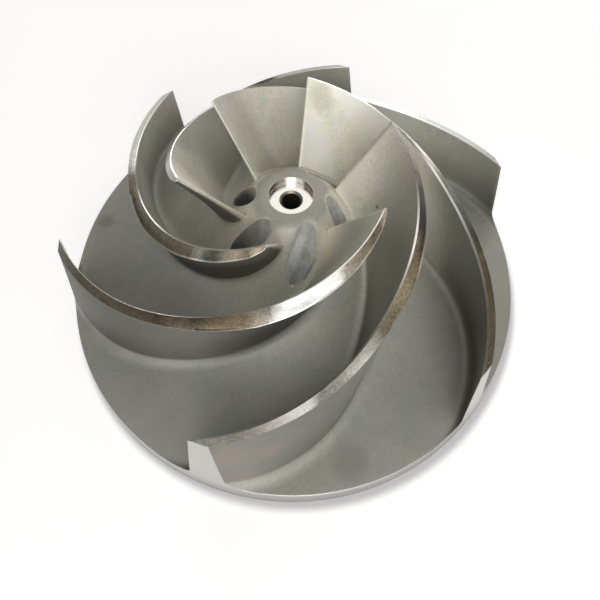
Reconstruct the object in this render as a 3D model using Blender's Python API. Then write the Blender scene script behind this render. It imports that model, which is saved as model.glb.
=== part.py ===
"""Semi-open mixed-flow pump impeller, cast in one piece, resting on its back plate, inlet side up.

Metres, +Z up, axis of rotation on Z, back face at z = 0. Heights in the tables are taken over the
front edge of the plate, and radii and heights there are shares of the outlet radius.
"""
import math

import bmesh
import bpy
import numpy as np
from mathutils import Matrix, Vector

# Driving dimensions
R_OUTLET = 0.150            # radius of the plate's front edge
PLATE_EDGE = 0.011          # thickness of the plate at its edge
OUTLET_LEAN = 0.208         # the turned outside is a cone: radius lost per metre of height
VANES = 6
TOP_CLEAR = 0.130           # height of the turning envelope, above every vane

BORE_RADIUS = 0.0060
BORE_CHAMFER = 0.0013
COUNTERBORE_RADIUS = 0.0138
COUNTERBORE_DEPTH = 0.0050
HOLE_RADIUS = 0.00715       # balance holes, drilled aslant through the hub
HOLE_MOUTH_RADIUS = 0.0310
HOLE_MOUTH_AZIMUTH = -76.8
HOLE_MOUTH_HEIGHT = 0.0590
HOLE_TILT = 26.7            # degrees off the axis, foot outwards
HOLE_TURN = -56.8           # degrees the tilt is turned off the radius
HOLE_OVERRUN = 0.040        # length of the drill above the mouth and below the back

VANE_ROOT_SINK = 0.006      # how far a vane runs down into the hub before the two are joined
VANE_OVERRUN = 1.08         # vanes are made past the outlet, then turned off with the plate
VANE_STATIONS = 26
ROUND_STEPS = 96
SMOOTH_ANGLE = math.radians(34.0)

# Hub and plate surface on the inlet side: radius and height
HUB = ((0.0920, 0.398), (0.130, 0.396), (0.154, 0.386), (0.178, 0.360), (0.207, 0.319), (0.242, 0.267),
       (0.287, 0.206), (0.342, 0.147), (0.420, 0.085), (0.520, 0.040), (0.650, 0.012), (0.800, 0.001),
       (1.040, 0.000))
# Control points of the cubic curves that a vane's concave side follows along its turned land and
# along its root, from inlet to outlet: radius, height, azimuth in degrees; the root lies on the hub
LAND = ((0.3985, 0.6770, 258.8), (0.5497, 0.4579, 176.1), (0.6124, 0.3823, 175.7), (0.9236, 0.3584, 129.7))
ROOT = ((0.1900, 0.0, 258.2), (0.4600, 0.0, 158.5), (0.7300, 0.0, 176.9), (1.0000, 0.0, 127.5))
# Along a vane, as shares of its length: thickness at the land, draft added down to the root and
# radius of the root fillet, as shares of the outlet radius
ALONG = (0.0, 0.03, 0.10, 0.20, 0.35, 0.60, 0.80, 0.90, 1.0)
THICK = (0.010, 0.021, 0.030, 0.038, 0.044, 0.037, 0.033, 0.029, 0.023)
DRAFT = (0.004, 0.005, 0.008, 0.008, 0.008, 0.010, 0.014, 0.016, 0.018)
FILLET = (0.012, 0.018, 0.030, 0.036, 0.040, 0.042, 0.042, 0.042, 0.042)
# Rows of a vane's wall between its root fillet and its land, as shares of its height
ROWS = (0.40, 0.70, 1.0)


def cubic(control, t):
    """Points of a cubic curve with four control points, for each parameter in t."""
    c = np.asarray(control, float)
    t = np.asarray(t, float)[:, None]
    u = 1.0 - t
    return u**3 * c[0] + 3 * t * u**2 * c[1] + 3 * t**2 * u * c[2] + t**3 * c[3]


def to_space(curve, turn):
    """Radius, height and azimuth to metres in the part's frame."""
    a = np.radians(curve[:, 2] + turn)
    r = curve[:, 0] * R_OUTLET
    return np.stack([r * np.cos(a), r * np.sin(a), curve[:, 1] * R_OUTLET + PLATE_EDGE], -1)


def unit(v):
    """Vectors of length one along the last axis."""
    return v / np.linalg.norm(v, axis=-1, keepdims=True)


def hub_height(r):
    """Height of the hub surface at a radius, both as shares of the outlet radius."""
    return np.interp(r, *zip(*HUB))


def land_height(r):
    """Height of the surface that the vanes' lands are turned to, at a radius."""
    curve = cubic(LAND, np.linspace(0.0, 1.2, 121))
    return np.interp(r, curve[:, 0], curve[:, 1])


def along_vane(table, s):
    """A measure of the vane in metres at each station, from its table of shares."""
    return np.interp(s, ALONG, table)[:, None] * R_OUTLET


def level_normal(line):
    """Level unit vectors square to a line in plan, pointing away from the axis."""
    step = np.gradient(line, axis=0)
    normal = unit(np.stack([-step[:, 1], step[:, 0], np.zeros(len(line))], -1))
    return normal * np.sign((normal * line).sum(-1, keepdims=True))


def dropped(points, height):
    """Points moved straight up or down on to a turned surface."""
    r = np.hypot(points[:, 0], points[:, 1]) / R_OUTLET
    return np.stack([points[:, 0], points[:, 1], height(r) * R_OUTLET + PLATE_EDGE], -1)


def wall(root, land, away, radius):
    """One side of a vane: a straight wall from root line to land line with a fillet at its foot.

    The fillet is a parabola, tangent to the wall and to the hub, that starts on the hub.
    """
    up = land - root
    high = root + up * radius / np.linalg.norm(up, axis=1, keepdims=True)
    foot = dropped(root + away * radius, hub_height)
    middle = 0.25 * foot + 0.5 * root + 0.25 * high
    sunk = foot - np.array([0.0, 0.0, VANE_ROOT_SINK])
    return np.stack([sunk, foot, middle, high] + [high + (land - high) * k for k in ROWS], 1)


def vane_sides(turn):
    """Grids of points on a vane's concave and convex side: stations along it by rows up it."""
    s = np.linspace(0.0, 1.0, VANE_STATIONS) ** 1.15 * VANE_OVERRUN
    root = dropped(to_space(cubic(ROOT, s), turn), hub_height)
    land = to_space(cubic(LAND, s), turn)
    thick, draft, radius = (along_vane(table, s) for table in (THICK, DRAFT, FILLET))
    out_low, out_high = level_normal(root), level_normal(land)
    concave = wall(root, land, -out_low, radius)
    convex = wall(dropped(root + out_low * (thick + draft), hub_height),
                  dropped(land + out_high * thick, land_height), out_low, radius)
    return concave, convex


def add_vane(bm, turn):
    """Adds one vane: a flat grid, extruded once, its two skins laid on the vane's two sides."""
    concave, convex = vane_sides(turn)
    n, m = concave.shape[:2]
    grid = bmesh.ops.create_grid(bm, x_segments=n - 1, y_segments=m - 1, size=1.0)["verts"]
    faces = {f for v in grid for f in v.link_faces}
    raised = bmesh.ops.extrude_face_region(bm, geom=list(faces), use_keep_orig=True)["geom"]
    raised = [g for g in raised if isinstance(g, bmesh.types.BMVert)]
    for verts, points in ((grid, concave), (raised, convex)):
        for v in verts:
            i = round((v.co.x + 1.0) / 2.0 * (n - 1))
            j = round((v.co.y + 1.0) / 2.0 * (m - 1))
            v.co = Vector(points[i, j])


def to_object(name, bm):
    """Makes an object of a bmesh, its faces turned outwards."""
    bmesh.ops.recalc_face_normals(bm, faces=bm.faces)
    mesh = bpy.data.meshes.new(name)
    bm.to_mesh(mesh)
    bm.free()
    obj = bpy.data.objects.new(name, mesh)
    bpy.context.scene.collection.objects.link(obj)
    return obj


def spun(name, profile, steps=ROUND_STEPS):
    """Spins a closed profile of radius and height, clear of the axis, into a ring-shaped body."""
    bm = bmesh.new()
    verts = [bm.verts.new((r, 0.0, z)) for r, z in profile]
    edges = [bm.edges.new(pair) for pair in zip(verts, verts[1:] + verts[:1])]
    bmesh.ops.spin(bm, geom=verts + edges, cent=(0, 0, 0), axis=(0, 0, 1), angle=2.0 * math.pi,
                   steps=steps, use_merge=True)
    bmesh.ops.remove_doubles(bm, verts=bm.verts, dist=1e-6)
    return to_object(name, bm)


def hub_body():
    """Back plate and hub with bore and counterbore, a little wider than the finished outlet."""
    top = [(r * R_OUTLET, z * R_OUTLET + PLATE_EDGE) for r, z in HUB]
    seat = top[0][1] - COUNTERBORE_DEPTH
    bore = [(COUNTERBORE_RADIUS, seat), (BORE_RADIUS + BORE_CHAMFER, seat),
            (BORE_RADIUS, seat - BORE_CHAMFER), (BORE_RADIUS, 0.0)]
    return spun("hub", [(top[-1][0], 0.0)] + top[::-1] + bore)


def vane_bodies():
    """All vanes, each a closed shell."""
    bm = bmesh.new()
    for k in range(VANES):
        add_vane(bm, k * 360.0 / VANES)
    return to_object("vanes", bm)


def outlet_envelope():
    """The cone that the outside is turned to, from below the back to above the vanes."""
    low = -0.01
    radii = [R_OUTLET - OUTLET_LEAN * (z - PLATE_EDGE) for z in (low, TOP_CLEAR)]
    place = Matrix.Translation((0, 0, (low + TOP_CLEAR) / 2)) @ Matrix.Rotation(math.pi / ROUND_STEPS, 4, "Z")
    bm = bmesh.new()
    bmesh.ops.create_cone(bm, cap_ends=True, segments=ROUND_STEPS, radius1=radii[0], radius2=radii[1],
                          depth=TOP_CLEAR - low, matrix=place)
    return to_object("envelope", bm)


def hole_cutters():
    """One drill for each passage, tilted with its foot outwards."""
    length = HOLE_MOUTH_HEIGHT / math.cos(math.radians(HOLE_TILT)) + 2 * HOLE_OVERRUN
    bm = bmesh.new()
    for k in range(VANES):
        a = math.radians(HOLE_MOUTH_AZIMUTH + k * 360.0 / VANES)
        mouth = Vector((HOLE_MOUTH_RADIUS * math.cos(a), HOLE_MOUTH_RADIUS * math.sin(a),
                        HOLE_MOUTH_HEIGHT))
        heading = Matrix.Rotation(a + math.radians(HOLE_TURN), 4, "Z")
        tilt = Matrix.Rotation(math.radians(-HOLE_TILT), 4, "Y")
        place = Matrix.Translation(mouth) @ heading @ tilt
        place = place @ Matrix.Translation((0.0, 0.0, HOLE_OVERRUN - length / 2))
        bmesh.ops.create_cone(bm, cap_ends=True, segments=28, radius1=HOLE_RADIUS, radius2=HOLE_RADIUS,
                              depth=length, matrix=place)
    return to_object("holes", bm)


def combine(target, cutter, operation):
    """Joins, crops or cuts a body with another, and removes the second."""
    cutter.hide_render = True
    cutter.display_type = "WIRE"
    mod = target.modifiers.new(operation.lower(), "BOOLEAN")
    mod.object = cutter
    mod.operation = operation
    mod.solver = "EXACT"
    bpy.context.view_layer.objects.active = target
    bpy.ops.object.modifier_apply(modifier=mod.name)
    bpy.data.objects.remove(cutter, do_unlink=True)


def finish(obj, name):
    """Names the body, smooths its round faces and gives it its steel."""
    obj.name = name
    obj.data.name = name
    mat = bpy.data.materials.new("cast_stainless_steel")
    mat.use_nodes = True
    shader = mat.node_tree.nodes["Principled BSDF"]
    shader.inputs["Base Color"].default_value = (0.46, 0.45, 0.42, 1.0)
    shader.inputs["Metallic"].default_value = 0.9
    shader.inputs["Roughness"].default_value = 0.48
    obj.data.materials.clear()
    obj.data.materials.append(mat)
    obj.data.shade_smooth()
    obj.data.set_sharp_from_angle(angle=SMOOTH_ANGLE)


def main():
    """Builds the impeller as one casting."""
    for obj in list(bpy.data.objects):
        bpy.data.objects.remove(obj, do_unlink=True)
    body = hub_body()
    combine(body, vane_bodies(), "UNION")
    combine(body, outlet_envelope(), "INTERSECT")
    combine(body, hole_cutters(), "DIFFERENCE")
    finish(body, "impeller_casting")


main()
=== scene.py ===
"""Looks of a cast pump impeller that rests on its back plate, inlet side up.

Metres, +Z up, axis of rotation on Z, back face at z = 0. The camera stands in front, on the -Y side.
"""

import logging
import math
from collections.abc import Callable
from dataclasses import dataclass, field
from enum import IntEnum

import bmesh
import bpy
import numpy as np
from mathutils import Matrix, Vector


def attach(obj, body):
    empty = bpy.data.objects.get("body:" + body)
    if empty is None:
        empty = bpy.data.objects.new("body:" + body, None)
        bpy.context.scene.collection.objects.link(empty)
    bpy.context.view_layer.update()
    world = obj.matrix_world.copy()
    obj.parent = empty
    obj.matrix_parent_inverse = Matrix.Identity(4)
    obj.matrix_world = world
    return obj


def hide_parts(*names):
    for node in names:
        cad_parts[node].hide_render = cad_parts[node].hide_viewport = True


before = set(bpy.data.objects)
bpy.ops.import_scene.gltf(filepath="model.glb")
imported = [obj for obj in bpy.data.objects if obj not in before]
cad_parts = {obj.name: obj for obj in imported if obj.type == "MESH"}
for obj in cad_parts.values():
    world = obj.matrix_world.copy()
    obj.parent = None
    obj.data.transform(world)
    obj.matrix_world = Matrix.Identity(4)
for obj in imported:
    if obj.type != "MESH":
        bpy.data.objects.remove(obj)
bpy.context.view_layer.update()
LOG = logging.getLogger("impeller")
Array = np.ndarray
Object = bpy.types.Object
Material = bpy.types.Material
CASTING = "impeller_casting"


class Surface(IntEnum):
    """Finishes on the casting, in the order of every piece's material slots."""

    CAST = 0
    LAND = 1
    RIM = 2
    SEAT = 3
    BORE = 4
    DRILLED = 5
    EDGE = 6


def unit(v: Array) -> Array:
    """Vectors of length one along the last axis."""
    return v / np.maximum(np.linalg.norm(v, axis=-1, keepdims=True), 1e-12)


def bezier(control: Array, t: Array) -> Array:
    """Points of a Bezier curve of degree two or three.

    Args:
        control: control points, first axis; further axes are carried along.
        t: parameters from 0 to 1.

    Returns:
        The sum of the control points weighted by the Bernstein polynomials of t.
    """
    n = len(control) - 1
    k = np.arange(n + 1)
    count = np.array([math.comb(n, int(i)) for i in k])
    weight = count * t[:, None] ** k * (1.0 - t[:, None]) ** (n - k)
    return np.tensordot(weight, np.asarray(control, float), axes=1)


def smooth_through(x: Array, knots: Array, values: Array) -> Array:
    """Smooth curve through a table, by cubic Hermite pieces with centred slopes.

    Args:
        x: where the curve is read.
        knots: rising positions of the table.
        values: values of the table.

    Returns:
        h00 y0 + h10 d m0 + h01 y1 + h11 d m1 on each interval of width d.
    """
    slope = np.gradient(values, knots)
    i = np.clip(np.searchsorted(knots, x) - 1, 0, len(knots) - 2)
    d = knots[i + 1] - knots[i]
    t = np.clip((x - knots[i]) / d, 0.0, 1.0)
    h01 = t * t * (3.0 - 2.0 * t)
    return ((1.0 - h01) * values[i] + t * (1.0 - t) ** 2 * d * slope[i]
            + h01 * values[i + 1] - t * t * (1.0 - t) * d * slope[i + 1])


def grid_faces(rows: int, columns: int, wrap_rows: bool, wrap_columns: bool) -> Array:
    """Quads of a grid whose point (i, j) has the number i * columns + j.

    Args:
        rows: number of rows of points.
        columns: number of points in a row.
        wrap_rows: True if the last row joins the first.
        wrap_columns: True if the last point of a row joins its first.

    Returns:
        Four point numbers for each quad, row by row.
    """
    i = np.arange(rows if wrap_rows else rows - 1)[:, None]
    j = np.arange(columns if wrap_columns else columns - 1)[None, :]
    i1, j1 = (i + 1) % rows, (j + 1) % columns
    quads = np.stack([i * columns + j, i1 * columns + j, i1 * columns + j1, i * columns + j1], -1)
    return quads.reshape(-1, 4)


def make_piece(name: str, points: Array, quads: Array, kinds: Array, sharp: float) -> Object:
    """Makes a closed piece from points and quads.

    Args:
        name: the piece's name.
        points: points in metres, one row each.
        quads: point numbers of each face.
        kinds: the surface finish of each face.
        sharp: edges that bend more than this angle, in degrees, stay sharp.

    Returns:
        The object, linked to the scene, doubles merged and faces turned outwards.
    """
    mesh = bpy.data.meshes.new(name)
    mesh.from_pydata(points.reshape(-1, 3).tolist(), [], quads.tolist())
    mesh.polygons.foreach_set("material_index", kinds.astype(np.int32))
    bm = bmesh.new()
    bm.from_mesh(mesh)
    bmesh.ops.remove_doubles(bm, verts=bm.verts, dist=2e-6)
    bmesh.ops.dissolve_degenerate(bm, edges=bm.edges, dist=1e-6)
    bmesh.ops.recalc_face_normals(bm, faces=bm.faces)
    bm.to_mesh(mesh)
    bm.free()
    mesh.shade_smooth()
    mesh.set_sharp_from_angle(angle=math.radians(sharp))
    piece = bpy.data.objects.new(name, mesh)
    bpy.context.scene.collection.objects.link(piece)
    return piece


@dataclass(frozen=True)
class FlowForm:
    """Shape that the hub and the vanes share.

    Radii and heights in the tables are shares of the outlet radius, heights are taken over the plate's
    front edge, and azimuths are in degrees.
    """

    outlet: float = 0.150
    plate_edge: float = 0.011
    lean: float = 0.208
    vanes: int = 6
    hub: tuple = ((0.0920, 0.398), (0.130, 0.396), (0.154, 0.386), (0.178, 0.360), (0.207, 0.319),
                  (0.242, 0.267), (0.287, 0.206), (0.342, 0.147), (0.420, 0.085), (0.520, 0.040),
                  (0.650, 0.012), (0.800, 0.001), (1.040, 0.000))
    land: tuple = ((0.3985, 0.6770, 258.8), (0.5497, 0.4579, 176.1), (0.6124, 0.3823, 175.7),
                   (0.9236, 0.3584, 129.7))
    root: tuple = ((0.1900, 0.0, 258.2), (0.4600, 0.0, 158.5), (0.7300, 0.0, 176.9), (1.0000, 0.0, 127.5))

    def hub_height(self, r: Array) -> Array:
        """Height of the hub's surface at radii, both in metres: the smooth curve through its table."""
        knots, heights = np.array(self.hub).T
        return smooth_through(r / self.outlet, knots, heights) * self.outlet + self.plate_edge

    def land_height(self, r: Array) -> Array:
        """Height of the surface that the lands are turned to, at radii: the land's curve read by radius."""
        curve = bezier(self.land, np.linspace(0.0, 1.2, 481))
        return np.interp(r / self.outlet, curve[:, 0], curve[:, 1]) * self.outlet + self.plate_edge

    def cone(self, z: Array) -> Array:
        """Radius of the turned outside: the outlet's less lean times the height over the plate's edge."""
        return self.outlet - self.lean * (z - self.plate_edge)

    def to_space(self, curve: Array) -> Array:
        """Shares of radius and height and an azimuth in degrees, as points in metres."""
        a, r = np.radians(curve[:, 2]), curve[:, 0] * self.outlet
        return np.stack([r * np.cos(a), r * np.sin(a), curve[:, 1] * self.outlet + self.plate_edge], -1)

    def dropped(self, points: Array, height: Callable[[Array], Array]) -> Array:
        """Points moved straight up or down on to a surface of revolution, given as height by radius."""
        r = np.hypot(points[..., 0], points[..., 1])
        return np.stack([points[..., 0], points[..., 1], height(r)], -1)


@dataclass(frozen=True)
class Drill:
    """The drill that makes the balance holes, aslant through the hub, with a rounded lip at the mouth.

    Lengths are in metres and angles in degrees. Search is the stretch of the axis, from the mouth's
    centre, in which the hub's surface is looked for.
    """

    form: FlowForm
    radius: float = 0.00715
    mouth_radius: float = 0.0310
    mouth_azimuth: float = -76.8
    mouth_height: float = 0.0590
    tilt: float = 26.7
    turn: float = -56.8
    lip: float = 0.0016
    lip_rows: int = 8
    clear: float = 0.0008
    far_above: float = 0.040
    far_below: float = 0.110
    search: tuple[float, float] = (-0.020, 0.030)
    halvings: int = 40
    around: int = 64

    def frame_of(self, number: int) -> tuple[Array, Array, Array, Array]:
        """Place and direction of one hole.

        The axis is (-sin t cos d, -sin t sin d, cos t), so it is tilted by t, away from the direction d.

        Args:
            number: which hole, counted round the axis of rotation.

        Returns:
            The mouth's centre, the axis pointing up and out, and two unit vectors square to the axis.
        """
        a = math.radians(self.mouth_azimuth + number * 360.0 / self.form.vanes)
        d, t = a + math.radians(self.turn), math.radians(self.tilt)
        out = self.mouth_radius
        mouth = np.array([out * math.cos(a), out * math.sin(a), self.mouth_height])
        axis = np.array([-math.sin(t) * math.cos(d), -math.sin(t) * math.sin(d), math.cos(t)])
        side = unit(np.cross(axis, [0.0, 0.0, 1.0]))
        return mouth, axis, side, np.cross(axis, side)

    def reach(self, start: Array, axis: Array) -> Array:
        """Distance along a hole's axis to the hub's surface, by halving the interval of search.

        Args:
            start: points to set out from.
            axis: unit vector to go along.

        Returns:
            The distance from each start point, in metres.
        """
        low, high = (np.full(start.shape[:-1], limit) for limit in self.search)
        for _ in range(self.halvings):
            middle = (low + high) / 2
            p = start + axis * middle[..., None]
            above = p[..., 2] > self.form.hub_height(np.hypot(p[..., 0], p[..., 1]))
            low, high = np.where(above, low, middle), np.where(above, middle, high)
        return high

    def cutter(self, number: int) -> Object:
        """Makes the drill's body for one hole.

        A point is mouth + (radius + flare)(cos f * side + sin f * lift) + axis * length. Near the surface
        the flare opens as a quarter circle: at flare x it lies lip - sqrt(lip^2 - (lip - x)^2) under the
        hub. The wall has the drilled finish, and the flare, which is the lip, the cast one.

        Args:
            number: which hole, counted round the axis of rotation.

        Returns:
            The closed cutter.
        """
        mouth, axis, side, lift = self.frame_of(number)
        f = np.linspace(0.0, 2.0 * math.pi, self.around, endpoint=False)[None, :, None]
        opened = np.sin(np.linspace(0.0, 0.46 * math.pi, self.lip_rows)) ** 2
        flare = np.concatenate([opened, [1.0, 1.0]]) * self.lip
        ring = mouth + (self.radius + flare[:, None, None]) * (np.cos(f) * side + np.sin(f) * lift)
        length = self.reach(ring, axis)
        depth = self.lip - np.sqrt(self.lip**2 - (self.lip - flare) ** 2)
        depth[-2:] = (-self.clear, -self.far_above)
        length = length - depth[:, None]
        low = mouth + self.radius * (np.cos(f) * side + np.sin(f) * lift) - axis * self.far_below
        wall = np.concatenate([low, ring + axis * length[..., None]])
        caps = [np.broadcast_to(wall[i].mean(0), wall[i].shape)[None] for i in (0, -1)]
        points = np.concatenate([caps[0], wall, caps[1]])
        quads = grid_faces(len(points), self.around, False, True)
        kinds = np.full(len(quads), Surface.DRILLED)
        kinds[2 * self.around:] = Surface.CAST
        return make_piece("drill_%d" % (number + 1), points, quads, kinds, 40.0)

    def touches(self, piece: Object, number: int) -> bool:
        """Whether a piece reaches into one hole.

        Args:
            piece: the piece, with its points in metres.
            number: which hole, counted round the axis of rotation.

        Returns:
            True if any of its points lies within the drill's reach of the hole's axis.
        """
        points = np.empty(len(piece.data.vertices) * 3, np.float32)
        piece.data.vertices.foreach_get("co", points)
        mouth, axis, _, _ = self.frame_of(number)
        away = points.reshape(-1, 3) - mouth
        along = away @ axis
        off = np.linalg.norm(away - along[:, None] * axis, axis=1)
        return bool(((off < self.radius + self.lip) & (along < self.search[1])).any())

    def cut(self, piece: Object) -> None:
        """Drills the holes that reach a piece.

        Args:
            piece: the piece, dressed in its materials.
        """
        for number in filter(lambda k: self.touches(piece, k), range(self.form.vanes)):
            tool = self.cutter(number)
            for material in piece.data.materials:
                tool.data.materials.append(material)
            cut = piece.modifiers.new("drill", "BOOLEAN")
            cut.object, cut.operation, cut.solver = tool, "DIFFERENCE", "EXACT"
            with bpy.context.temp_override(object=piece, active_object=piece):
                bpy.ops.object.modifier_apply(modifier=cut.name)
            bpy.data.objects.remove(tool, do_unlink=True)


@dataclass
class HubAndPlate:
    """Back plate and hub with its counterbore and bolt hole, one closed surface of revolution.

    The plate's corners are broken by corner, those of the counterbore by lip, in metres. Rows lie closer
    together on the nose, within its radius.
    """

    form: FlowForm
    bore: float = 0.0060
    counterbore: float = 0.0138
    seat_height: float = 0.0657
    chamfer: float = 0.0013
    lip: float = 0.0002
    corner: float = 0.0006
    nose: float = 0.040
    back_face: float = 0.145
    around: int = 300

    def profile(self) -> tuple[Array, Array]:
        """Closed outline of the section: out over hub and plate, down the rim, in under it, up the bore.

        Returns:
            Points as radius and height, and the finish of the step that starts at each of them.
        """
        form = self.form
        top = form.hub_height(np.array([self.counterbore]))[0]
        r0, seat, c, b, k = self.bore, self.seat_height, self.chamfer, self.lip, self.corner
        edge = form.outlet - k
        flow = np.concatenate([np.linspace(self.counterbore + b, self.nose, 60),
                               np.linspace(self.nose, edge, 71)[1:]])
        rounding = bezier([(edge, form.hub_height(np.array([edge]))[0]), (form.outlet, form.plate_edge),
                           (form.cone(form.plate_edge - k), form.plate_edge - k)],
                          np.linspace(0.0, 1.0, 5))[1:]
        rim = np.linspace(form.plate_edge - 2.0 * k, k, 6)
        lip = bezier([(self.counterbore, top - b), (self.counterbore, top),
                      (self.counterbore + b, form.hub_height(np.array([self.counterbore + b]))[0])],
                     np.linspace(0.0, 1.0, 4))[:-1]
        parts = [
            (np.stack([flow, form.hub_height(flow)], -1), Surface.CAST),
            (rounding, Surface.RIM),
            (np.stack([form.cone(rim), rim], -1), Surface.RIM),
            (np.array([[form.cone(0.0) - k, 0.0]]), Surface.RIM),
            (np.stack([np.linspace(self.back_face, r0 + c, 30), np.zeros(30)], -1), Surface.RIM),
            (np.stack([np.full(20, r0), np.linspace(c, seat - c, 20)], -1), Surface.BORE),
            (np.stack([np.linspace(r0 + c, self.counterbore - b, 10), np.full(10, seat)], -1),
             Surface.SEAT),
            (np.stack([np.full(5, self.counterbore), np.linspace(seat + b, top - 2.0 * b, 5)], -1),
             Surface.SEAT),
            (lip, Surface.SEAT),
        ]
        points = np.concatenate([p for p, _ in parts])
        kinds = np.concatenate([np.full(len(p), kind) for p, kind in parts])
        return points, kinds

    def build(self) -> Object:
        """Spins the outline: a point is (r cos a, r sin a, z) for each outline point and azimuth a.

        Returns:
            The closed piece.
        """
        outline, kinds = self.profile()
        a = np.linspace(0.0, 2.0 * math.pi, self.around, endpoint=False)
        r, z = outline[:, 0][:, None], outline[:, 1][:, None]
        points = np.stack([r * np.cos(a), r * np.sin(a), z + 0.0 * a], -1)
        quads = grid_faces(len(outline), self.around, True, True)
        return make_piece("hub_and_plate", points, quads, np.repeat(kinds, self.around), 32.0)


@dataclass
class Vane:
    """A twisted vane: cast walls with a fillet at the foot, a turned land and a turned outlet end.

    Tables give, along the vane's length, its thickness at the land, the draft added down to the root and
    the radius of the root fillet, as shares of the outlet radius. Chamfer is each vane's broken edge on the
    concave side, in metres. The section is worked out at fine stations that run on past the cone, and read
    from them at fewer.
    """

    form: FlowForm
    number: int
    along: tuple = (0.0, 0.03, 0.10, 0.20, 0.35, 0.60, 0.80, 0.90, 1.0)
    thick: tuple = (0.010, 0.021, 0.030, 0.038, 0.044, 0.037, 0.033, 0.029, 0.023)
    draft: tuple = (0.004, 0.005, 0.008, 0.008, 0.008, 0.010, 0.014, 0.016, 0.018)
    fillet: tuple = (0.012, 0.018, 0.030, 0.036, 0.040, 0.042, 0.042, 0.042, 0.042)
    nose: float = 0.010
    sink: float = 0.0020
    chamfer: tuple = (0.0006, 0.0004, 0.0009, 0.0012, 0.0004, 0.0004)
    outer_edge: float = 0.00008
    outlet_edge: float = 0.00025
    fillet_rows: int = 10
    wall_rows: int = 12
    edge_rows: int = 1
    land_rows: int = 5
    nose_stations: int = 9
    stations: int = 150
    fine_stations: int = 900
    overrun: float = 1.10
    crowding: float = 1.1

    @property
    def name(self) -> str:
        """The piece's name."""
        return "vane_%d" % (self.number + 1)

    def level_normal(self, line: Array) -> Array:
        """Level unit vectors square to a line in plan, pointing away from the axis.

        Args:
            line: points in metres.

        Returns:
            One vector for each point.
        """
        step = np.gradient(line, axis=0)
        normal = unit(np.stack([-step[:, 1], step[:, 0], np.zeros(len(line))], -1))
        return normal * np.sign((normal * line).sum(-1, keepdims=True))

    def side(self, root: Array, land: Array, away: Array, radius: Array, edge: Array) -> Array:
        """Rows of one side, from its sunk foot up to the land's edge.

        The fillet is a parabola, tangent to the hub and to the straight wall, and the land's edge is
        broken by a small flat chamfer.

        Args:
            root: line where wall and hub would meet.
            land: line of the land's edge.
            away: level unit vectors that point off the wall.
            radius: size of the root fillet at each station.
            edge: size of the land's chamfer at each station.

        Returns:
            Points, rows by stations.
        """
        up = unit(land - root)
        foot = self.form.dropped(root + away * radius, self.form.hub_height)
        high = root + up * radius
        curve = bezier(np.stack([foot, root, high]), np.linspace(0.0, 1.0, self.fillet_rows))
        t = np.linspace(0.0, 1.0, self.wall_rows)[1:, None, None]
        top = land - up * edge
        straight = high + (top - high) * t
        inner = self.form.dropped(land - away * edge, self.form.land_height)
        corner = bezier(np.stack([top, land, inner]), np.linspace(0.0, 1.0, self.edge_rows + 1)[1:])
        sunk = foot - np.array([0.0, 0.0, self.sink])
        return np.concatenate([sunk[None], curve, straight, corner])

    def section_rows(self, s: Array) -> Array:
        """Rows of points round the vane's section at each station.

        The rows run up the concave side, over the land, down the convex side and back below the hub. At
        the inlet both sides draw together as an ellipse, so the thickness is that of the table times
        sqrt(1 - (1 - s / nose)^2).

        Args:
            s: stations as shares of the vane's length.

        Returns:
            Points, rows by stations.
        """
        form = self.form
        turn = np.array([0.0, 0.0, self.number * 360.0 / form.vanes])
        root = form.dropped(form.to_space(bezier(form.root, s) + turn), form.hub_height)
        land = form.to_space(bezier(form.land, s) + turn)
        thick, draft, radius = (np.interp(s, self.along, table)[:, None] * form.outlet
                                for table in (self.thick, self.draft, self.fillet))
        full = np.sqrt(1.0 - (1.0 - np.clip(s / self.nose, 0.0, 1.0)) ** 2)[:, None]
        low, high = self.level_normal(root), self.level_normal(land)
        sides = []
        for sign, size in zip((-1.0, 1.0), (self.chamfer[self.number], self.outer_edge)):
            edge = np.minimum(size, 0.3 * thick * full)
            share = 0.5 * (1.0 + sign * full)
            foot_line = form.dropped(root + low * (thick + draft) * share, form.hub_height)
            edge_line = form.dropped(land + high * thick * share, form.land_height)
            sides.append(self.side(foot_line, edge_line, sign * low, radius * full, edge))
        t = np.linspace(0.0, 1.0, self.land_rows + 2)[1:-1, None, None]
        across = form.dropped(sides[0][-1] * (1.0 - t) + sides[1][-1] * t, form.land_height)
        below = sides[1][0] * (1.0 - t) + sides[0][0] * t
        return np.concatenate([sides[0], across, sides[1][::-1], below])

    def turned_off(self, rows: Array, s: Array, inset: float) -> tuple[Array, Array]:
        """Where each row meets the turned cone, in the outer half of the vane.

        The first station past the cone and the one before it are joined by a straight line.

        Args:
            rows: points, rows by stations.
            s: the stations as shares of the vane's length.
            inset: how far inside the cone a row stops, in metres.

        Returns:
            For each row, the share of the length and the point.
        """
        r = np.hypot(rows[..., 0], rows[..., 1])
        past = r - self.form.cone(rows[..., 2]) + inset
        i = np.argmax((past > 0.0) & (s > 0.5), axis=1)
        pick = np.arange(len(rows))
        t = past[pick, i - 1] / (past[pick, i - 1] - past[pick, i])
        end = s[i - 1] + t * (s[i] - s[i - 1])
        return end, rows[pick, i - 1] + t[:, None] * (rows[pick, i] - rows[pick, i - 1])

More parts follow.
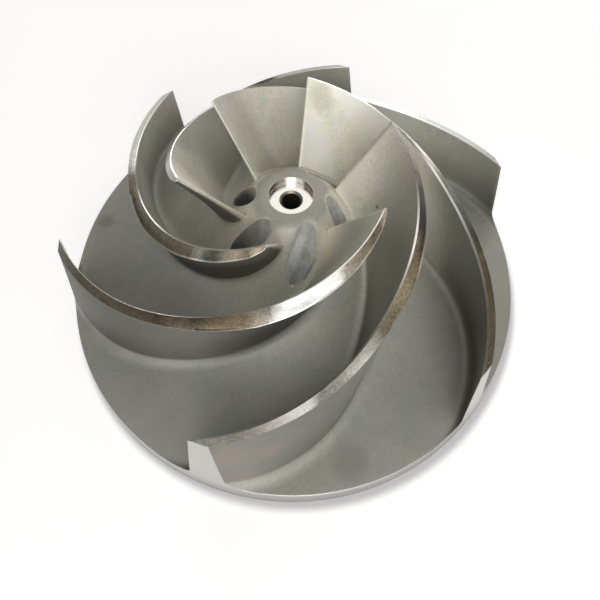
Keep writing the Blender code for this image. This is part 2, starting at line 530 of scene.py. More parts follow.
    def end_ring(self, ring: Array) -> Array:
        """The outlet end's outline, drawn in along the cone by the width of its broken edge.

        In the flat of the cone a point has the arc length r * azimuth and the height z. Each moves square
        to the outline, to its inside.

        Args:
            ring: points of the outline on the cone.

        Returns:
            The points drawn in, in the same order.
        """
        r = self.form.outlet
        a = np.arctan2(ring[:, 1], ring[:, 0])
        middle = np.arctan2(np.sin(a).mean(), np.cos(a).mean())
        a = (a - middle + math.pi) % (2.0 * math.pi) - math.pi
        flat = np.stack([a * r, ring[:, 2]], -1)
        step = unit(np.roll(flat, -1, 0) - np.roll(flat, 1, 0))
        square = np.stack([-step[:, 1], step[:, 0]], -1)
        inside = np.sign((square * (flat.mean(0) - flat)).sum(-1).sum())
        flat = flat + square * inside * self.outlet_edge
        a = flat[:, 0] / r + middle
        out = self.form.cone(flat[:, 1])
        return np.stack([out * np.cos(a), out * np.sin(a), flat[:, 1]], -1)

    def cap(self, ring: Array) -> Array:
        """Points over the outlet end: straight lines from side to side, moved in plan on to the cone.

        Args:
            ring: the end's outline, up the concave side, over the land and down the convex side.

        Returns:
            A grid of points whose border is the outline.
        """
        m, q = self.side_rows, self.land_rows
        left, right = ring[:m], ring[m + q:2 * m + q][::-1]
        t = np.linspace(0.0, 1.0, q + 2)[None, :, None]
        grid = left[:, None] * (1.0 - t) + right[:, None] * t
        grid[-1, 1:-1] = ring[m:m + q]
        grid[0, 1:-1] = ring[2 * m + q:][::-1]
        inner = grid[:, 1:-1]
        out = self.form.cone(inner[..., 2]) / np.hypot(inner[..., 0], inner[..., 1])
        inner[..., :2] *= out[..., None]
        return grid

    @property
    def side_rows(self) -> int:
        """Number of rows on one side."""
        return 1 + self.fillet_rows + self.wall_rows - 1 + self.edge_rows

    def build(self) -> Object:
        """Builds the vane as a tube of rows, read at stations that end on the cone, and its outlet end.

        Returns:
            The closed piece.
        """
        n = self.nose_stations
        turn = 0.5 * math.pi * np.linspace(0.0, 1.0, n)
        fine = np.concatenate([self.nose * (1.0 - np.cos(turn)),
                               np.linspace(self.nose, self.overrun, self.fine_stations)[1:]])
        rows = self.section_rows(fine)
        end, _ = self.turned_off(rows, fine, self.outlet_edge)
        t = np.linspace(0.0, 1.0, self.stations) ** self.crowding
        stops = np.concatenate([np.broadcast_to(fine[:n], (len(rows), n)),
                                self.nose + (end[:, None] - self.nose) * t[1:]], 1)
        i = np.clip(np.searchsorted(fine, stops.ravel()).reshape(stops.shape), 1, len(fine) - 1)
        share = ((stops - fine[i - 1]) / (fine[i] - fine[i - 1]))[..., None]
        pick = np.arange(len(rows))[:, None]
        tube = rows[pick, i - 1] * (1.0 - share) + rows[pick, i] * share
        ring = self.end_ring(self.turned_off(rows, fine, 0.0)[1])
        tube = np.concatenate([tube, ring[:, None]], 1).transpose(1, 0, 2)
        count = len(rows)
        quads = grid_faces(len(tube), count, False, True)
        m, q = self.side_rows, self.land_rows
        kinds = np.full(count, Surface.CAST)
        kinds[m - 1:m + q] = Surface.LAND
        kinds[m - 1 - self.edge_rows:m - 1] = Surface.EDGE
        kinds = np.tile(kinds, len(tube) - 1)
        kinds[-count:] = Surface.RIM
        cap = self.cap(ring)
        cap_quads = grid_faces(m, q + 2, False, False) + tube.shape[0] * count
        points = np.concatenate([tube.reshape(-1, 3), cap.reshape(-1, 3)])
        quads = np.concatenate([quads, cap_quads])
        kinds = np.concatenate([kinds, np.full(len(cap_quads), Surface.RIM)])
        return make_piece(self.name, points, quads, kinds, 32.0)


class Value:
    """A shader value. Used in an expression, it adds the Math nodes that the expression needs."""

    def __init__(self, graph: "Graph", socket: bpy.types.NodeSocket) -> None:
        """Keeps the graph and the socket."""
        self.graph, self.socket = graph, socket

    def __add__(self, other: "Number") -> "Value":
        """Sum."""
        return self.graph.math("ADD", self, other)

    __radd__ = __add__

    def __mul__(self, other: "Number") -> "Value":
        """Product."""
        return self.graph.math("MULTIPLY", self, other)

    __rmul__ = __mul__

    def __sub__(self, other: "Number") -> "Value":
        """Difference."""
        return self.graph.math("SUBTRACT", self, other)

    def __rsub__(self, other: "Number") -> "Value":
        """Difference, with the value taken off a number."""
        return self.graph.math("SUBTRACT", other, self)


Number = Value | float
Colour = tuple[float, float, float]


class Graph:
    """Node tree of one material or of the world."""

    def __init__(self, tree: bpy.types.NodeTree) -> None:
        """Keeps the tree."""
        self.tree = tree

    def node(self, kind: str, settings: dict | None = None, inputs: dict | None = None,
             out: int | str = 0) -> Value | None:
        """Adds a node.

        Args:
            kind: the node's type.
            settings: its settings, set first; "stops" gives a ramp's stops as (place, colour).
            inputs: values or links of its sockets, by name or number.
            out: the output that is handed back.

        Returns:
            The chosen output, or None from a node that has no outputs.
        """
        node = self.tree.nodes.new(kind)
        for key, value in (settings or {}).items():
            if key == "stops":
                ramp = node.color_ramp.elements
                while len(ramp) < len(value):
                    ramp.new(0.5)
                for element, (place, colour) in zip(ramp, value):
                    element.position, element.color = place, (*colour, 1.0)
            else:
                setattr(node, key, value)
        for key, value in (inputs or {}).items():
            if isinstance(value, Value):
                self.tree.links.new(value.socket, node.inputs[key])
            elif isinstance(value, tuple) and len(value) == 3 and node.inputs[key].type == "RGBA":
                node.inputs[key].default_value = (*value, 1.0)
            else:
                node.inputs[key].default_value = value
        return Value(self, node.outputs[out]) if node.outputs else None

    def math(self, operation: str, *values: Number) -> Value:
        """A Math node on up to three values."""
        return self.node("ShaderNodeMath", {"operation": operation}, dict(enumerate(values)))

    def vector(self, operation: str, *values: Value | Colour, out: int | str = 0) -> Value:
        """A Vector Math node on up to three vectors."""
        return self.node("ShaderNodeVectorMath", {"operation": operation}, dict(enumerate(values)), out)

    def scaled(self, vector: Value, by: Number) -> Value:
        """A vector times a number."""
        return self.node("ShaderNodeVectorMath", {"operation": "SCALE"}, {0: vector, "Scale": by})

    def mix(self, a: Value | Colour, b: Value | Colour, share: Number) -> Value:
        """Colour a going over to colour b by a share."""
        return self.node("ShaderNodeMix", {"data_type": "RGBA"}, {0: share, 6: a, 7: b}, 2)

    def tinted(self, a: Value | Colour, b: Value | Colour, share: Number) -> Value:
        """Colour a times colour b, by a share."""
        return self.node("ShaderNodeMix", {"data_type": "RGBA", "blend_type": "MULTIPLY"},
                         {0: share, 6: a, 7: b}, 2)

    def place(self) -> Value:
        """Object coordinates, in metres."""
        return self.node("ShaderNodeTexCoord", out="Object")

    def look(self) -> Value:
        """The surface's normal."""
        return self.node("ShaderNodeNewGeometry", out="Normal")

    def noise(self, where: Value, scale: float, detail: float = 2.0, rough: float = 0.5,
              bend: float = 0.0) -> Value:
        """Soft noise.

        Args:
            where: the place it is read at.
            scale: number of waves to one unit of the place, which is mostly a metre.
            detail: number of finer layers.
            rough: strength of each finer layer.
            bend: how far the noise bends its own place.

        Returns:
            A value from 0 to 1.
        """
        return self.node("ShaderNodeTexNoise", None,
                         {"Vector": where, "Scale": scale, "Detail": detail, "Roughness": rough,
                          "Distortion": bend})

    def step(self, value: Number, start: float, stop: float, low: Number = 0.0,
             high: Number = 1.0) -> Value:
        """Smooth step of a value.

        Args:
            value: what is measured.
            start: where the step starts.
            stop: where it stops, above or below the start.
            low: the result before the start.
            high: the result past the stop.

        Returns:
            low + (high - low)(3 t^2 - 2 t^3), with t the share of the way from start to stop.
        """
        return self.node("ShaderNodeMapRange", {"interpolation_type": "SMOOTHSTEP"},
                         {"Value": value, "From Min": start, "From Max": stop, "To Min": low,
                          "To Max": high})

    def along(self, vector: Value | Colour, way: Value | Colour) -> Value:
        """Share of a vector that points a given way."""
        return self.vector("DOT_PRODUCT", vector, way, out="Value")

    def join(self, x: Number, y: Number, z: Number) -> Value:
        """The vector of three numbers."""
        return self.node("ShaderNodeCombineXYZ", None, {"X": x, "Y": y, "Z": z})

    def split(self, vector: Value) -> tuple[Value, Value, Value]:
        """The three numbers of a vector."""
        first = self.node("ShaderNodeSeparateXYZ", None, {0: vector})
        return tuple(Value(self, socket) for socket in first.socket.node.outputs)

    def bump(self, height: Value, depth: float, strength: float = 1.0,
             normal: Value | None = None) -> Value:
        """A normal tipped by a height.

        Args:
            height: a value from 0 to 1.
            depth: how high a height of 1 stands, in metres.
            strength: share of the effect.
            normal: the normal that it starts from, or None for the surface's own.

        Returns:
            The normal.
        """
        inputs = {"Height": height, "Distance": depth, "Strength": strength}
        if normal is not None:
            inputs["Normal"] = normal
        return self.node("ShaderNodeBump", None, inputs)

    def shader(self, **inputs: Value | float | Colour) -> None:
        """Adds the Principled shader and the output.

        Args:
            **inputs: the shader's sockets, with underscores in their names.
        """
        named = {key.replace("_", " "): value for key, value in inputs.items()}
        surface = self.node("ShaderNodeBsdfPrincipled", None, named)
        self.node("ShaderNodeOutputMaterial", None, {"Surface": surface})


def new_material(name: str) -> tuple[Material, Graph]:
    """Makes an empty material with nodes.

    Args:
        name: the material's name.

    Returns:
        The material and its graph.
    """
    material = bpy.data.materials.new(name)
    material.use_nodes = True
    material.node_tree.nodes.clear()
    return material, Graph(material.node_tree)


@dataclass(frozen=True)
class Ward:
    """Walls that look one way, as a smooth step of the share that points there, and their tone of painted
    light or shade.
    """

    way: Colour
    start: float
    stop: float
    tone: float

    def shade(self, g: Graph, look: Value) -> Value:
        """The tone's share on a surface with the given normal."""
        return g.step(g.along(look, self.way), self.start, self.stop) * self.tone


@dataclass(frozen=True)
class CastSkin:
    """Blasted, pickled skin of the casting: satin grey, lightest inside the inlet, darker on the plate.

    Tones add to the lightness, or scale it where the skin looks down; most are painted light and shade, set
    by where a face is and which way it looks. A stain is a centre, a radius, a soft border, a colour and a
    share.
    """

    cool: Colour = (0.432, 0.444, 0.412)
    warm: Colour = (0.452, 0.446, 0.396)
    metallic: float = 0.60
    rough: float = 0.62
    plate_tone: float = 0.92
    hub_tone: float = 1.78
    # The tones and Wards that follow are painted light and shade, set by where a face is and which way it
    # looks.
    foot_tone: float = -0.17
    inlet_tone: float = 0.32
    outer_tone: float = -0.44
    brow_tone: float = -0.04
    crown_tone: float = -0.64
    under_tone: float = 0.24
    far_under_tone: float = 0.52
    port: Ward = Ward((-0.85, -0.52, 0.0), 0.25, 0.90, 0.45)
    lee: Ward = Ward((-0.906, 0.423, 0.0), 0.05, 0.90, -0.46)
    wind: Ward = Ward((-0.34, -0.94, 0.0), 0.62, 0.93, 0.85)
    fair: Ward = Ward((0.55, -0.83, 0.0), 0.80, 0.91, 0.289)
    dull: Ward = Ward((0.90, -0.43, 0.0), 0.74, 0.90, -0.221)
    heel: Ward = Ward((0.80, -0.60, 0.0), 0.70, 0.92, 0.68)
    stains: tuple = (
        ((-0.031, -0.134, 0.050), 0.004, 0.010, (0.33, 0.25, 0.19), 0.45),
        ((-0.014, -0.133, 0.043), 0.003, 0.007, (0.33, 0.25, 0.20), 0.45),
        ((-0.036, -0.138, 0.022), 0.003, 0.007, (0.28, 0.22, 0.17), 0.40),
        ((0.028, -0.135, 0.011), 0.005, 0.009, (0.24, 0.23, 0.19), 0.35),
        ((0.074, -0.097, 0.011), 0.0005, 0.003, (0.42, 0.30, 0.27), 0.50),
        ((-0.139, 0.024, 0.011), 0.002, 0.007, (0.19, 0.18, 0.14), 0.45),
        ((-0.128, -0.052, 0.011), 0.002, 0.008, (0.24, 0.22, 0.19), 0.35),
        ((0.0515, -0.0084, 0.0662), 0.0006, 0.0012, (0.10, 0.09, 0.08), 0.80),
        ((0.019, 0.053, 0.098), 0.004, 0.009, (0.50, 0.36, 0.28), 0.30),
        ((0.137, 0.001, 0.011), 0.003, 0.007, (0.26, 0.25, 0.20), 0.30),
        ((0.136, -0.018, 0.011), 0.008, 0.034, (0.50, 0.50, 0.45), 0.45),
        ((0.070, -0.106, 0.011), 0.006, 0.034, (0.29, 0.29, 0.26), 0.30),
    )

    def tone(self, g: Graph, p: Value, look: Value) -> tuple[Value, Value]:
        """Lightness over the part and a mask of faces that look up.

        Lightness rises in S-curves towards the axis and, on walls that look at the axis, with height, as
        painted light over painted shade at their foot. Painted shade darkens steep walls that look
        outwards, most of all high up under the land, and the hub's crown, faces that look down, and inner
        walls that look left and back. Painted light lightens inner walls that look to the front and those
        at the outlet of one passage, the heel. In the inlet painted light makes one of them fairer and
        painted shade one duller.

        Args:
            g: the material's graph.
            p: object coordinates.
            look: the surface's normal.

        Returns:
            The lightness, and the mask.
        """
        x, y, z = g.split(p)
        radius = g.math("SQRT", x * x + y * y)
        outward = g.along(look, g.vector("NORMALIZE", g.join(x, y, 0.0)))
        up = g.split(look)[2]
        # Painted shade at the foot of walls that look at the axis, painted light higher up on them.
        inner = g.step(outward, -0.10, -0.55) * g.step(z, 0.018, 0.062, self.foot_tone, self.inlet_tone)
        # Painted shadow on steep walls that look outwards, darkest high up under the land and, by the port
        # Ward, on those that look left and to the front.
        brow = g.step(z, 0.045, 0.075, self.outer_tone, self.outer_tone + self.brow_tone)
        outer = g.step(outward, 0.35, 0.80) * g.step(up, 0.45, 0.15) * brow
        outer = outer * (1.0 + self.port.shade(g, look)) * g.step(radius, 0.045, 0.068, 0.35, 1.0)
        # Painted shade on the hub's crown where it looks up.
        crown = g.step(up, 0.55, 0.95) * g.step(z, 0.030, 0.060) * self.crown_tone
        near = g.step(radius, 0.130, 0.022, self.plate_tone, self.hub_tone)
        # Painted shade on faces that look down, deepest near the axis.
        far_under = g.step(radius, 0.080, 0.110, self.under_tone, self.far_under_tone)
        under = g.step(up, -0.06, -0.25, 1.0, far_under)
        # Painted light and shade on walls that look at the axis, by the way they face.
        sides = self.wind.shade(g, look) * g.step(radius, 0.058, 0.078, 0.14, 1.0)
        sides += (self.fair.shade(g, look) + self.dull.shade(g, look)) * g.step(radius, 0.085, 0.070)
        sides += self.heel.shade(g, look) * g.step(radius, 0.098, 0.122)
        sides += self.lee.shade(g, look) * g.step(radius, 0.030, 0.055)
        sides = sides * g.step(outward, -0.10, -0.50) + 1.0
        return (near + inner + outer + crown) * under * sides, g.step(up, 0.55, 0.95)

    def marks(self, g: Graph, p: Value, colour: Value, patch: Value) -> Value:
        """Lays the stains and knocks over the skin, with edges frayed by the patchy noise.

        Args:
            g: the material's graph.
            p: object coordinates.
            colour: the skin's colour.
            patch: the patchy noise, from 0 to 1.

        Returns:
            The colour with the marks on it.
        """
        spread = 0.010
        fray = g.vector("ADD", p, g.scaled(g.join(patch, patch, patch), spread))
        for centre, radius, soft, tint, share in self.stains:
            centre = tuple(c + 0.5 * spread for c in centre)
            away = g.vector("DISTANCE", fray, centre, out="Value")
            colour = g.mix(colour, tint, g.step(away, radius + soft, radius) * share)
        return colour

    def material(self) -> Material:
        """Makes the material.

        Returns:
            The cast skin.
        """
        made, g = new_material("cast_skin")
        p = g.place()
        lightness, up = self.tone(g, p, g.look())
        plate = g.step(g.split(p)[2], 0.055, 0.025, 0.25, 1.0)
        cloud = g.noise(p, 17.0, 3.0, 0.5, 0.5)
        patch = g.noise(g.vector("ADD", p, (0.3, 0.1, 0.2)), 42.0, 4.0, 0.6, 0.8)
        mottle = g.noise(p, 230.0, 4.0, 0.65)
        grain = g.noise(p, 1900.0, 2.0, 0.6)
        fleck = g.noise(p, 820.0, 2.0, 0.7)
        # Painted cool reflection: low faces that look up take the cool colour, in patches.
        colour = g.mix(self.warm, self.cool, up * plate * g.step(cloud, 0.62, 0.40, 0.25, 1.0))
        colour = g.tinted(colour, (1.03, 0.99, 0.96), g.step(patch, 0.54, 0.66))
        colour = g.tinted(colour, (0.98, 1.01, 0.98), g.step(patch, 0.46, 0.36))
        lightness = lightness * (0.53 + mottle * 0.28 + patch * 0.24 + fleck * 0.42)
        colour = g.scaled(colour, lightness)
        speck = g.step(g.noise(p, 520.0, 1.0, 0.3), 0.775, 0.81)
        colour = g.mix(colour, (0.16, 0.15, 0.13), speck * 0.30)
        colour = self.marks(g, p, colour, patch)
        rough = self.rough + (cloud - 0.5) * 0.08 + (mottle - 0.5) * 0.10
        soft = g.bump(g.noise(p, 95.0, 2.0, 0.5), 0.0005, 0.30)
        normal = g.bump(grain * 0.6 + mottle * 0.6, 0.00010, 0.5, soft)
        g.shader(Base_Color=colour, Metallic=self.metallic, Roughness=rough, Normal=normal)
        return made


@dataclass(frozen=True)
class DrilledWall:
    """Wall of a balance hole: blasted, with soft flutes down the hole.

    A faint glow, stronger in the front hole, stands in for the light of a bright room, which soft lamps
    don't bring into a hole.
    """

    light: Colour = (0.60, 0.60, 0.575)
    dark: Colour = (0.44, 0.44, 0.42)
    middle: Colour = (0.25, -0.95, 0.0)
    glow: float = 0.15

    def lit(self, g: Graph, p: Value) -> Value:
        """Share of the glow, highest on the middle of the front hole's wall.

        Args:
            g: the material's graph.
            p: object coordinates.

        Returns:
            The front hole's share, which rises with height, plus a little low down in every hole.
        """
        x, y, z = g.split(p)
        azimuth = g.math("ARCTAN2", y, x)
        front = g.step(azimuth, -2.25, -1.95) * g.step(azimuth, -0.90, -1.20)
        facing = g.step(g.along(g.look(), self.middle), 0.72, 0.97, 0.40, 1.0)
        return front * facing * g.step(z, 0.024, 0.056, 0.85, 1.90) + g.step(z, 0.056, 0.036, 0.0, 0.12)

    def material(self) -> Material:
        """Makes the material.

        Returns:
            The drilled wall.
        """
        made, g = new_material("drilled_wall")
        p = g.place()
        flute = g.noise(g.vector("MULTIPLY", p, (1.0, 1.0, 0.25)), 260.0, 2.0, 0.5)
        mottle = g.noise(p, 300.0, 3.0, 0.6)
        colour = g.mix(self.dark, self.light, g.step(flute * 0.6 + mottle * 0.4, 0.36, 0.62))
        normal = g.bump(flute * 0.7 + mottle * 0.3, 0.0003, 0.6)
        g.shader(Base_Color=colour, Metallic=0.05, Roughness=0.50, Normal=normal,
                 Emission_Color=g.scaled(colour, self.lit(g, p)), Emission_Strength=self.glow)
        return made


@dataclass(frozen=True)
class TurnedSteel:
    """Steel turned on a lathe: fine feed lines round the axis, drawn out as scratches.

    Stops give painted reflections and highlights, in stripes along the azimuth, with an oxide tint: degrees
    past the first azimuth, clockwise seen from above, lightness and warmth. Warmth 0 is neutral, 1 is straw
    brown and a negative one is bluish. Between the two angles of chalk, where it is given, the steel goes
    over to a blasted, dull white. Feed is the pitch of the tool marks in metres, slope their steepness, and
    worn the strength of flecks on dark tints.
    """

    name: str
    stops: tuple[tuple[float, float, float], ...]
    first: float = 0.0
    rough: float = 0.24
    feed: float = 0.00030
    slope: float = 0.035
    span: float = 180.0
    chalk: tuple[float, float] | None = None
    worn: float = 0.08

    def feed_normal(self, g: Graph, p: Value, base: Value, flat: Value, radius: Value) -> Value:
        """Normal tipped outwards and inwards by the feed lines.

        The tip is slope times the sine of 2 pi radius / feed, and the radius wanders a little.

        Args:
            g: the material's graph.
            p: object coordinates.
            base: the normal without the lines.
            flat: the place in plan, as a vector from the axis.
            radius: its length.

        Returns:
            The normal.
        """
        wander = g.noise(p, 60.0, 2.0) * 0.0010
        wave = g.math("SINE", (radius + wander) * (2.0 * math.pi / self.feed)) * self.slope
        outward = g.vector("NORMALIZE", flat)
        return g.vector("NORMALIZE", g.vector("ADD", base, g.scaled(outward, wave)))

    def past(self, g: Graph, azimuth: Value, wander: Value) -> Value:
        """Degrees past the first azimuth, clockwise seen from above."""
        return g.math("WRAP", self.first - azimuth * (180.0 / math.pi) + wander, 360.0, 0.0)

    def tint(self, g: Graph, azimuth: Value, wander: Value) -> Value:
        """Colour along the azimuth: painted reflections and highlights with an oxide tint, wandering a
        little.

        Red is the lightness times 1 + 0.15 warmth, green the lightness, and blue it times 0.97 - 0.24
        warmth.

        Args:
            g: the material's graph.
            azimuth: the azimuth in radians.
            wander: degrees that are added.

        Returns:
            The colour.
        """
        past = self.past(g, azimuth, wander)
        stops = [(degrees / self.span,
                  (light * (1.0 + 0.15 * warm), light, light * (0.97 - 0.24 * warm)))
                 for degrees, light, warm in self.stops]
        return g.node("ShaderNodeValToRGB", {"stops": stops}, {0: past * (1.0 / self.span)})

    def material(self) -> Material:
        """Makes the material.

        Returns:
            The turned steel.
        """
        made, g = new_material(self.name)
        p = g.place()
        x, y, z = g.split(p)
        radius = g.math("SQRT", x * x + y * y)
        azimuth = g.math("ARCTAN2", y, x)
        flat = g.join(x, y, 0.0)
        streak = g.noise(g.join(radius * 1100.0, azimuth * 6.0, z * 60.0), 1.0, 3.0, 0.6)
        smear = g.noise(p, 150.0, 3.0, 0.55)
        base = g.bump(g.noise(p, 45.0, 2.0), 0.0005, 0.3)
        normal = self.feed_normal(g, p, base, flat, radius)
        # Painted reflections and highlights along the land, with an oxide tint, read by azimuth.
        colour = self.tint(g, azimuth, (smear - 0.5) * 5.0)
        dark = g.step(g.split(colour)[1], 0.75, 0.30, 0.25, 1.0)
        fleck = (g.step(g.noise(p, 620.0, 3.0, 0.65), 0.33, 0.67) - 0.5) * dark * self.worn
        colour = g.scaled(colour, 0.84 + streak * 0.20 + smear * 0.12 + fleck)
        rough = self.rough + (streak - 0.5) * 0.12 + (smear - 0.5) * 0.10
        metallic = 1.0
        if self.chalk:
            metallic = g.step(self.past(g, azimuth, (smear - 0.5) * 9.0), *self.chalk, 1.0, 0.25)
        g.shader(Base_Color=colour, Metallic=metallic, Roughness=rough, Normal=normal)
        return made


@dataclass
class Casting:
    """The whole impeller: hub and plate, vanes and balance holes, in their finishes.

    The land reflections and tints are the painted reflections and highlights, with an oxide tint, of each
    vane's land from the inlet to the outlet, and chalk says where a land is blasted, both as TurnedSteel
    takes them.
    """

    form: FlowForm = field(default_factory=FlowForm)
    # Painted reflections and highlights of each land, with an oxide tint.
    bands: tuple = (
        ((0, .50, .6), (4, .90, .9), (8, .26, 1.0), (12, .55, .9), (17, .38, .8), (21, .21, .6),
         (25, .32, -.3), (29, .60, .3), (33, .24, 1.0), (40, .17, 1.1), (60, .10, 1.1), (67, .18, .9),
         (74, .30, .8), (82, .78, .5), (89, .46, .3), (94, .60, .2), (100, .95, .1), (112, 1.0, .1)),
        ((0, .45, .6), (4, .50, 1.1), (7, .24, 1.1), (12, .26, 1.0), (16, .42, .9), (22, .45, .8),
         (27, .34, .5), (32, .80, .0), (44, .62, .0), (51, .92, .0), (54, .80, .1), (57, .30, .4),
         (61, .42, .7), (66, .74, 1.1), (74, .60, 1.2), (80, .17, 1.1), (88, .34, 1.0), (98, .30, .9),
         (116, .31, .8), (122, .48, .4), (128, .70, .0)),
        ((20, .40, .5), (25, .14, .6), (29, .14, .7), (32, .02, 1.0), (42, .02, 1.0), (48, .06, 1.1),
         (52, .20, 1.0), (56, .48, 1.1), (60, .72, 1.2), (64, .34, 1.3), (76, .30, 1.2), (81, .40, .9),
         (85, .66, .3), (89, .84, .3), (93, .54, .3), (97, .30, .4), (103, .24, .1), (107, .84, .0),
         (111, .84, .0), (114, .74, .2), (120, .50, .4), (126, .43, .3)),
        ((50, .95, .0), (60, .95, .05), (66, .80, .2), (70, .55, .4), (74, .32, .4), (82, .18, .35),
         (87, .12, .4), (93, .11, .6), (97, .14, .6), (104, .58, .9), (112, .68, .9), (116, .64, .9),
         (120, .38, 1.0), (126, .19, 1.1)),
        ((0, .95, .2), (60, .95, .1), (104, .85, .0), (128, .90, .1)),
        ((0, .28, .3), (10, .32, .3), (18, .44, .3), (24, .34, .3), (30, .26, .2), (100, .70, .2),
         (110, .95, .1)),
    )
    chalk: tuple = ((93, 101), None, None, None, None, (100, 108))

    def finishes(self) -> list[list[Material]]:
        """Makes the finishes.

        Returns:
            For each vane, its materials in the order of the surface finishes.
        """
        skin, drilled = CastSkin().material(), DrilledWall().material()
        rim = TurnedSteel("turned_rim", ((0, .50, .1), (180, .50, .1)), rough=0.36, slope=0.03).material()
        seat = TurnedSteel("turned_seat", ((0, .74, .15), (180, .74, .15)), rough=0.20, feed=0.0006,
                           slope=0.03).material()
        bore = TurnedSteel("turned_bore", ((0, .36, .5), (180, .36, .5)), rough=0.42, feed=0.0011,
                           slope=0.10).material()
        first, step = self.form.land[0][2], 360.0 / self.form.vanes
        lands = [TurnedSteel("turned_land_%d" % (k + 1), stops, first + k * step, chalk=chalk,
                             worn=0.42).material()
                 for k, (stops, chalk) in enumerate(zip(self.bands, self.chalk))]
        edge = TurnedSteel("broken_edge", ((0, .88, .1), (180, .88, .1)), rough=0.34, worn=0.25).material()
        return [[skin, land, rim, seat, bore, drilled, edge] for land in lands]

    def build(self) -> list[Object]:
        """Builds every piece, dresses and drills it, and hands it to the model.

        Returns:
            The finished pieces.
        """
        finishes = self.finishes()
        drill = Drill(self.form)
        pieces = [HubAndPlate(self.form).build()]
        pieces += [Vane(self.form, k).build() for k in range(self.form.vanes)]
        for piece, slots in zip(pieces, finishes[:1] + finishes):
            for material in slots:
                piece.data.materials.append(material)
            drill.cut(piece)
            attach(piece, "root")
            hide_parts(CASTING)
        return pieces


@dataclass(frozen=True)
class Softbox:
    """A rectangular soft light that points at the middle of the impeller."""

    name: str
    azimuth: float
    elevation: float
    power: float
    width: float = 0.82
    height: float = 0.82
    colour: Colour = (1.0, 1.0, 1.0)
    distance: float = 1.5
    target: Colour = (0.0, 0.0, 0.05)

    def build(self) -> None:
        """Hangs the light; azimuth 0 is in front of the camera's side, 90 at the viewer's right."""
        data = bpy.data.lights.new(self.name, "AREA")
        data.shape, data.size, data.size_y = "RECTANGLE", self.width, self.height
        data.energy, data.color = self.power, self.colour
        lamp = bpy.data.objects.new(self.name, data)
        a, e = math.radians(self.azimuth), math.radians(self.elevation)
        away = Vector((math.sin(a) * math.cos(e), -math.cos(a) * math.cos(e), math.sin(e)))
        lamp.location = Vector(self.target) + away * self.distance
        lamp.rotation_euler = away.to_track_quat("Z", "Y").to_euler()
        bpy.context.scene.collection.objects.link(lamp)


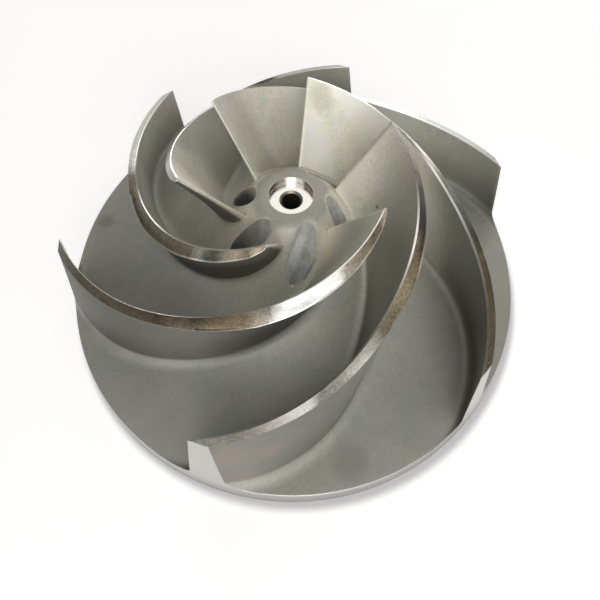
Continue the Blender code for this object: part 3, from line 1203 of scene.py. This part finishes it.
@dataclass
class Studio:
    """Plain pale floor, soft lights and the camera.

    The camera looks at the axis at the height aim; focus, centre and picture are in pixels of the
    photograph, and sensor is in millimetres. The floor is a square of twice its half side, with a painted
    shadow under and just round the object, within the radii of shade, its circle shifted right and to the
    front.
    """

    elevation: float = 54.082
    roll: float = -1.343
    distance: float = 0.27155
    aim: float = 0.0635
    focus: float = 437.08
    centre: tuple[float, float] = (291.14, 201.89)
    picture: float = 600.0
    sensor: float = 36.0
    near: float = 0.005
    half_side: float = 6.0
    # A painted shadow on the floor, within these radii round this centre.
    shade: tuple[float, float] = (0.1505, 0.156)
    shade_centre: tuple[float, float] = (0.0022, -0.0028)
    floor_glow: float = 0.42
    surroundings: Colour = (1.0, 0.78, 0.55)
    surroundings_strength: float = 0.06
    lights: tuple[Softbox, ...] = (
        Softbox("front_low_box", 0.0, 7.0, 3.5, 0.80, 0.30),
        Softbox("front_left_low_box", 322.0, 6.0, 0.4, 0.80, 0.26),
        Softbox("front_right_box", 30.0, 22.0, 3.0, 0.73, 0.73, (1.0, 0.98, 0.95)),
        Softbox("right_box", 60.0, 22.0, 1.1, 0.73, 0.73),
        Softbox("right_back_box", 120.0, 18.0, 1.5, 0.73, 0.73),
        Softbox("back_right_low_box", 150.0, 7.0, 4.0, 0.80, 0.30),
        Softbox("back_right_box", 147.0, 27.0, 0.7, 0.60, 0.50),
        Softbox("back_left_low_box", 210.0, 7.0, 4.6, 0.80, 0.30),
        Softbox("left_box", 252.0, 40.0, 0.4),
        Softbox("front_box", 0.0, 40.0, 5.9),
        Softbox("front_high_box", 0.0, 58.0, 0.9),
        Softbox("right_high_box", 45.0, 58.0, 0.55),
        Softbox("left_high_box", 315.0, 58.0, 2.4),
        Softbox("back_high_box", 180.0, 58.0, 2.6),
        Softbox("overhead_box", 72.0, 75.0, 2.0, 0.76, 0.76, (1.0, 0.98, 0.94)),
    )

    def floor(self) -> None:
        """A wide floor."""
        mesh = bpy.data.meshes.new("floor")
        s = self.half_side
        mesh.from_pydata([(-s, -s, 0), (s, -s, 0), (s, s, 0), (-s, s, 0)], [], [(0, 1, 2, 3)])
        made, g = new_material("floor_white")
        x, y, _ = g.split(g.place())
        # Painted shadow: within the radii of shade, round a centre shifted right and to the front, the
        # floor is dimmer, bluish and without glow.
        x, y = x - self.shade_centre[0], y - self.shade_centre[1]
        away = g.step(g.math("SQRT", x * x + y * y), *self.shade)
        g.shader(Base_Color=g.mix((0.75, 0.75, 0.78), (0.88, 0.88, 0.88), away), Roughness=0.9,
                 Emission_Color=g.mix((0.0, 0.0, 0.0), (1.0, 1.0, 1.0), away),
                 Emission_Strength=self.floor_glow)
        mesh.materials.append(made)
        obj = bpy.data.objects.new("floor", mesh)
        bpy.context.scene.collection.objects.link(obj)

    def world(self) -> None:
        """Even, dim and warm surroundings."""
        world = bpy.data.worlds.new("surroundings")
        world.use_nodes = True
        inputs = world.node_tree.nodes["Background"].inputs
        inputs["Color"].default_value = (*self.surroundings, 1.0)
        inputs["Strength"].default_value = self.surroundings_strength
        bpy.context.scene.world = world

    def camera(self) -> None:
        """Places the camera that was fitted to the photograph."""
        e, k = math.radians(self.elevation), math.radians(self.roll)
        target = np.array([0.0, 0.0, self.aim])
        place = target + self.distance * np.array([0.0, -math.cos(e), math.sin(e)])
        ahead = unit(target - place)
        right = np.array([1.0, 0.0, 0.0])
        up = np.cross(right, ahead)
        x = math.cos(k) * right + math.sin(k) * up
        y = -math.sin(k) * right + math.cos(k) * up
        data = bpy.data.cameras.new("camera")
        data.sensor_width = self.sensor
        data.lens = self.focus / self.picture * data.sensor_width
        data.shift_x = (self.picture / 2 - self.centre[0]) / self.picture
        data.shift_y = (self.centre[1] - self.picture / 2) / self.picture
        data.clip_start = self.near
        camera = bpy.data.objects.new("camera", data)
        turned = Matrix(np.stack([x, y, -ahead], 1).tolist()).to_4x4()
        camera.matrix_world = Matrix.Translation(place) @ turned
        bpy.context.scene.collection.objects.link(camera)
        bpy.context.scene.camera = camera

    def build(self) -> None:
        """Builds the whole set."""
        self.floor()
        self.world()
        self.camera()
        for light in self.lights:
            light.build()
        bpy.context.scene.view_settings.view_transform = "Standard"


def main() -> None:
    """Builds the set and then the impeller, and reports each of its pieces."""
    logging.basicConfig(level=logging.INFO, format="%(name)s: %(message)s")
    Studio().build()
    for piece in Casting().build():
        LOG.info("%s: %d faces", piece.name, len(piece.data.polygons))


if __name__ == "__main__":
    main()
